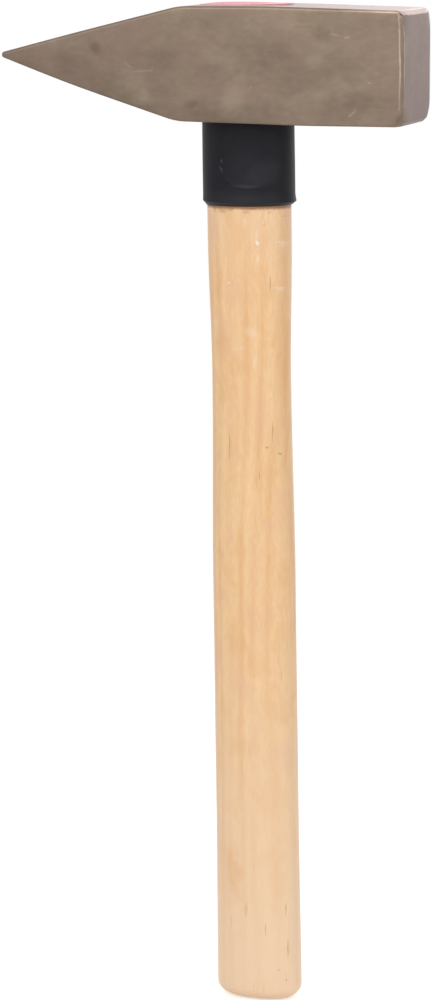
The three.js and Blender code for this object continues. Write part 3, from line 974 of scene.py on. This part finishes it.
def handleRings():
    sizes = handleSizes
    rise, inset = sizes["buttRound"]
    rings = []
    flatEnd = ovalRing(handleOval(buttHeight), buttHeight, -inset)
    for share in sizes["buttRings"]:
        rings.append([Vector((point.x * share, point.y * share, buttHeight)) for point in flatEnd])
    for step in range(16):
        angle = math.radians(6 * step)
        height = buttHeight + rise * (1 - math.cos(angle))
        rings.append(ovalRing(handleOval(height), height, inset * (math.sin(angle) - 1)))
    straight = shoulderHeight - buttHeight - rise
    steps = round(straight / sizes["ringStep"])
    for step in range(1, steps + 1):
        height = buttHeight + rise + straight * step / steps
        rings.append(ovalRing(handleOval(height), height))
    slant = math.tan(math.radians(sizes["buttSlant"]))
    for ring in rings:
        for point in ring:
            fade = max(0.0, 1 - (point.z - buttHeight) / sizes["buttFade"])
            point.z += slant * (handleOval(buttHeight)[0] - inset - point.x) * fade
    gap = eyeSizes["clearance"]
    for height in (headLow.z - gap, waistHeight, skirtHeight - gap):
        rings.append(ovalRing(eyeOval(height), height, -gap))
    rings.append(ovalRing(eyeSizes["top"], tenonTop, -gap - sizes["tenonChamfer"]))
    return rings


def kerfCutter():
    sizes, gap = handleSizes, eyeSizes["clearance"]
    over = eyeSizes["cutMargin"]
    top, toe = sizes["wedgeTop"] / 2 + gap, sizes["wedgeToe"] / 2 + gap
    rise = tenonTop + over
    reach = eyeSizes["top"][0] + over
    floorHeight = tenonTop - sizes["kerfDepth"]
    rings = [
        [Vector((x, y, z)) for y, z in ((-toe, floorHeight), (toe, floorHeight), (top, rise), (-top, rise))]
        for x in (-reach, reach)
    ]
    return leaningPiece("kerfCutter", rings)


def ringCutter():
    sizes, gap = handleSizes, eyeSizes["clearance"]
    outer = sizes["ringOuterRadius"]
    toe = tenonTop - sizes["ringDepth"] - gap
    rise = tenonTop + eyeSizes["cutMargin"]
    profile = (
        (outer - sizes["ringToeWall"] - gap, toe), (outer + gap, toe),
        (outer + gap, rise), (outer - sizes["ringTopWall"] - gap, rise),
    )
    rings = [ovalRing((radius, radius), height, power=2.0) for radius, height in profile]
    return leaningPiece("ringCutter", rings, closeEnds=False, closeLoop=True)


def buildHandle():
    handle = leaningPiece("ashHandle", handleRings())
    cutAway(handle, kerfCutter())
    cutAway(handle, ringCutter())
    smoothSurface(handle)
    dress(handle, ash, "ash", "handle")


buildHandle()
print("handle made")

# Sleeve: a thin tube with a flared lip, a shallow round dish and a top that meets the head's underside

sleeveSizes = {
    "wall": 1.2,
    "topWall": 1.4,
    "toeWall": 0.3,
    "length": 30.6,
    "lipFlare": 0.4,
    "flareTurn": 1.7,  # turns the flare across the handle, as the oval's own normal does
    "lipHeight": 3.0,
    "lipBevel": 1.1,
    "lipRound": 0.2,
    "evenFlare": 0.15,  # share of the flare that goes all round, the rest is on the face's side
    "lipSlant": 0.5,  # how much higher the lower end is on the peen's side
    "dishHalfWidth": 11.6,
    "dishHalfHeight": 10.6,
    "dishStep": 0.1,  # drop at the rim of the dish
    "dishHollow": 0.6,  # and from there to its middle
    "dishEdge": 0.06,
    "dishDrop": 13.0,
    "dishPlace": 3.5,
    "sides": 192,
    "ringCount": 84,
}
leanShift = headLow.z * math.tan(leanAngle)  # how far the lean carries the handle at the underside


def undersideAt(x):
    rise = headSizes["bottomShoulderRise"]
    start = eyeX + headSizes["bottomShoulder"][0]
    end = eyeX + headSizes["levelReach"]
    return headLow.z + rise * (end - x) / (end - start)


def skinOval(height, lowGrow, topGrow):
    share = max(0.0, (height - shoulderHeight) / handleSizes["shoulderDrop"])
    neck = [half + lowGrow for half in handleSizes["stations"][-1][1:]]
    top = [half + topGrow for half in eyeSizes["bottom"]]
    return mixOval(neck, top, share)


def lipProfile():
    sizes = sleeveSizes
    toe = sizes["toeWall"] - sizes["wall"]
    bevel, rounding, rise = sizes["lipBevel"], sizes["lipRound"], sizes["lipHeight"]
    return (  # height above the lower end, how far out from the tube's outside, and share of the flare
        (0.0, toe, 0.0),
        (bevel - rounding, toe * rounding / bevel, 0.85),
        (bevel, 0.0, 1.0),
        (bevel + rounding, 0.0, 0.97),
        (bevel + rise * 0.3, 0.0, 0.7),
        (bevel + rise * 0.6, 0.0, 0.25),
        (bevel + rise, 0.0, 0.0),
    )


def flaredRing(height, out, flare):
    sizes = sleeveSizes
    grow = eyeSizes["clearance"] + sizes["wall"] + out
    ring = ovalRing(skinOval(height, grow, grow), height, 0.0, sizes["sides"])
    for index, point in enumerate(ring):
        toFace = (1 + math.cos(2 * math.pi * index / sizes["sides"])) / 2
        share = sizes["evenFlare"] + (1 - sizes["evenFlare"]) * toFace
        outward = Vector((point.x, point.y * sizes["flareTurn"], 0)).normalized()
        point += outward * sizes["lipFlare"] * flare * share
        point.z += sizes["lipSlant"] * (1 - toFace)
    return ring


def sleeveRings():
    sizes, gap = sleeveSizes, eyeSizes["clearance"]
    grow = gap + sizes["wall"]
    bottom = headLow.z - sizes["length"]
    start = bottom + sizes["lipBevel"] + sizes["lipHeight"]
    rings = [flaredRing(bottom + rise, out, flare) for rise, out, flare in lipProfile()]
    dishMiddle = headLow.z - sizes["dishDrop"]
    for step in range(1, sizes["ringCount"] + 1):
        share = step / sizes["ringCount"]
        height = start + (headLow.z - start) * share
        oval = skinOval(height, grow, sizes["topWall"])
        ring = ovalRing(oval, 0.0, 0.0, sizes["sides"])
        for point in ring:
            top = undersideAt(point.x + leanShift) - gap
            point.z = start + (top - start) * share
            across = (point.x - sizes["dishPlace"]) / sizes["dishHalfWidth"]
            away = math.hypot(across, (point.z - dishMiddle) / sizes["dishHalfHeight"])
            if point.y < 0:
                sunk = sizes["dishStep"] * easeStep((1 - away) / sizes["dishEdge"])
                sunk += sizes["dishHollow"] * max(0.0, 1 - away ** 2)
                outward = Vector((point.x / oval[0] ** 2, point.y / oval[1] ** 2, 0)).normalized()
                point -= outward * sunk
        rings.append(ring)
    innerTop = ovalRing(eyeSizes["bottom"], 0.0, 0.0, sizes["sides"])
    for point in innerTop:
        point.z = undersideAt(point.x + leanShift) - gap
    rings.append(innerTop)
    for height in (shoulderHeight, bottom):
        rings.append(ovalRing(skinOval(height, gap, 0.0), height, 0.0, sizes["sides"]))
    return rings


def buildSleeve():
    sleeve = leaningPiece("rubberSleeve", sleeveRings(), closeEnds=False, closeLoop=True)
    smoothSurface(sleeve)
    dress(sleeve, rubber, "rubber", "handle_sleeve")


buildSleeve()
print("sleeve made")

# Red lacquer: a thin cap over the end of the handle, crowned by its own surface tension


def buildCap():
    sizes, gap = lacquerSizes, eyeSizes["clearance"]
    mouth = eyeSizes["top"]
    rim = headHigh.z + sizes["rim"]
    chamfer = handleSizes["tenonChamfer"]
    taper = chamfer / (tenonTop + gap - skirtHeight + gap)
    toe = skirtHeight - gap + gap / taper  # where the inside meets the outside
    edgeWidth, edgeHeight = sizes["toeEdge"]
    rings = [ovalRing(mouth, tenonTop + gap, -chamfer), ovalRing(mouth, toe, -gap - edgeWidth)]
    rings += [ovalRing(mouth, toe + edgeHeight, -gap), ovalRing(mouth, rim, -gap)]
    for step in range(1, sizes["crownSteps"]):
        share = 1 - step / sizes["crownSteps"]
        height = rim + sizes["crown"] * (1 - share ** sizes["fullness"])
        slant = sizes["slant"] * min(1.0, (1 - share) / sizes["slantOnset"])
        outline = ovalRing(mouth, height, -gap)
        for point in outline:
            point.x *= share
            point.y *= share
            point.z -= slant * point.x / mouth[0]
        rings.append(outline)
    cap = leaningPiece("redEyeLacquer", rings)
    smoothSurface(cap, 60)
    dress(cap, redLacquer, "red_lacquer", "eye_lacquer")


buildCap()
for node, material, slotName in (("wooden_wedge", beech, "beech"), ("ring_wedge", brass, "brass")):
    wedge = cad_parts[node]
    wedge.data.materials.clear()
    wedge.data.materials.append(material)
print("lacquer and wedges made")

# Studio: a pale floor at the butt, white all round, and three large soft lamps

studioSetup = {
    "floorHalf": 20.0,  # metres
    "floorColour": "#f2f1ef",
    "backdrop": "#ffffff",
    "shadowReach": (0.25, 0.9),  # where the floor starts and ends to fade to plain white, metres
    "floorLift": 0.5,
    "ambient": 0.45,
    "lamps": (  # name, place, size, watts
        ("keyLamp", (-0.3, -2.1, 1.3), 1.6, 20.0),
        ("fillLamp", (2.0, -1.1, 0.7), 1.6, 9.0),
        ("backLamp", (0.22, 1.9, 1.1), 1.8, 16.5),
    ),
}


def seenItself(tree):
    # one where it is seen straight, mirrored or through glass, and nought for the light it gives
    rays = addNode(tree, "ShaderNodeLightPath")
    either = addNode(tree, "ShaderNodeMath", {
        0: rays.outputs["Is Camera Ray"], 1: rays.outputs["Is Glossy Ray"],
    }, operation="MAXIMUM")
    return addNode(tree, "ShaderNodeMath", {
        0: either, 1: rays.outputs["Is Transmission Ray"],
    }, operation="MAXIMUM")


def floorMaterial(setup):
    material, tree, place = newMaterial("pale studio floor")
    white = linearColour(setup["backdrop"])
    distance = addNode(tree, "ShaderNodeVectorMath", {0: place}, operation="LENGTH")
    near = addNode(tree, "ShaderNodeMapRange", {
        "Value": distance, "From Min": setup["shadowReach"][0],
        "From Max": setup["shadowReach"][1], "To Min": 1.0, "To Max": 0.0,
    })
    paint = addNode(tree, "ShaderNodeBsdfDiffuse", {"Color": linearColour(setup["floorColour"])})
    lift = addNode(tree, "ShaderNodeEmission", {"Color": white, "Strength": setup["floorLift"]})
    lifted = addNode(tree, "ShaderNodeAddShader", {0: paint, 1: lift})
    plain = addNode(tree, "ShaderNodeEmission", {"Color": white, "Strength": 1.0})
    shown = addNode(tree, "ShaderNodeMixShader", {0: near, 1: plain, 2: lifted})
    mixed = addNode(tree, "ShaderNodeMixShader", {0: seenItself(tree), 1: paint, 2: shown})
    addNode(tree, "ShaderNodeOutputMaterial", {"Surface": mixed})
    return material


def buildFloor(setup):
    bm = bmesh.new()
    half, height = setup["floorHalf"], cadBounds[0].z
    corners = ((-half, -half), (half, -half), (half, half), (-half, half))
    bm.faces.new([bm.verts.new((x, y, 0)) for x, y in corners])
    floor = meshObject("studioFloor", bm)
    floor.location.z = height
    floor.data.materials.append(floorMaterial(setup))


def lightWorld(setup):
    world = bpy.data.worlds.new("studioWorld")
    world.use_nodes = True
    scene.world = world
    tree = world.node_tree
    tree.nodes.clear()
    white = linearColour(setup["backdrop"])
    ambient = addNode(tree, "ShaderNodeBackground", {"Color": white, "Strength": setup["ambient"]})
    backdrop = addNode(tree, "ShaderNodeBackground", {"Color": white, "Strength": 1.0})
    mixed = addNode(tree, "ShaderNodeMixShader", {0: seenItself(tree), 1: ambient, 2: backdrop})
    addNode(tree, "ShaderNodeOutputWorld", {"Surface": mixed})


def placeLamps(setup):
    middle = (cadBounds[0] + cadBounds[1]) / 2
    for name, place, size, power in setup["lamps"]:
        lamp = bpy.data.lights.new(name, "AREA")
        lamp.shape = "DISK"
        lamp.size = size
        lamp.energy = power
        stand = linkObject(name, lamp)
        stand.location = place
        stand.rotation_euler = (middle - Vector(place)).to_track_quat("-Z", "Y").to_euler()


buildFloor(studioSetup)
lightWorld(studioSetup)
placeLamps(studioSetup)
print("studio made")
